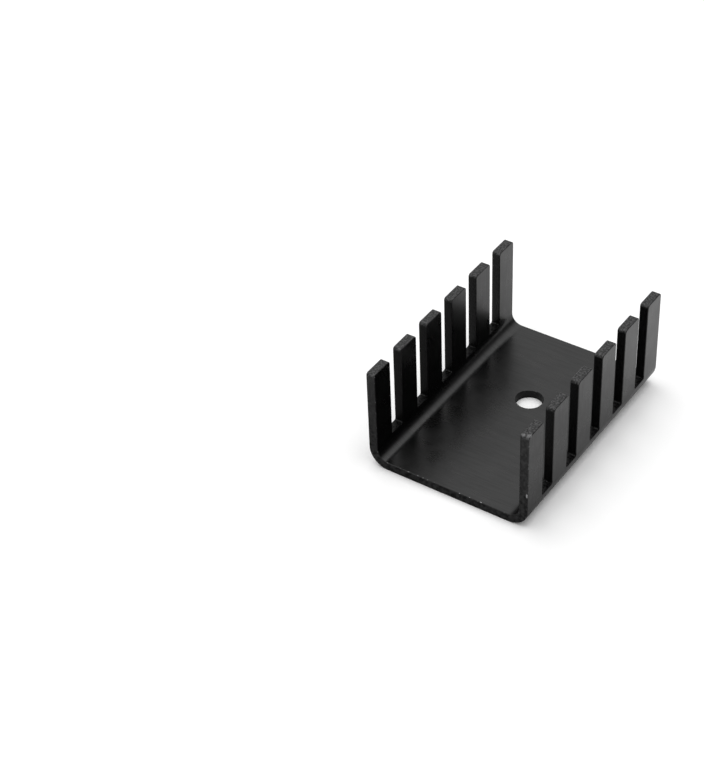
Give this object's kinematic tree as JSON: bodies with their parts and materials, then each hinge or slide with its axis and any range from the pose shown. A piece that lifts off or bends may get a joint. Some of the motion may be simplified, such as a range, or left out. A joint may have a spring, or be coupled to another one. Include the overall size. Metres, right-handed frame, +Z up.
{
  "type": "heat sink",
  "caption": "Channel-shaped heat sink folded from black anodised aluminium sheet, with a row of upright fins along each side and a screw hole in its base.",
  "frame": {"origin": "on the underside, below the middle of the base, where the part rests", "axes": "+Y along the folds and the open channel, towards the end that the screw hole is nearer to; +X across the channel; +Z up the fins"},
  "size_m": [0.0224, 0.032, 0.0143],
  "materials": {
    "anodised_sheet": "satin black anodised, with a fine rolled grain"
  },
  "bodies": {
    "root": {"heat_sink": "anodised_sheet"}
  },
  "joints": []
}
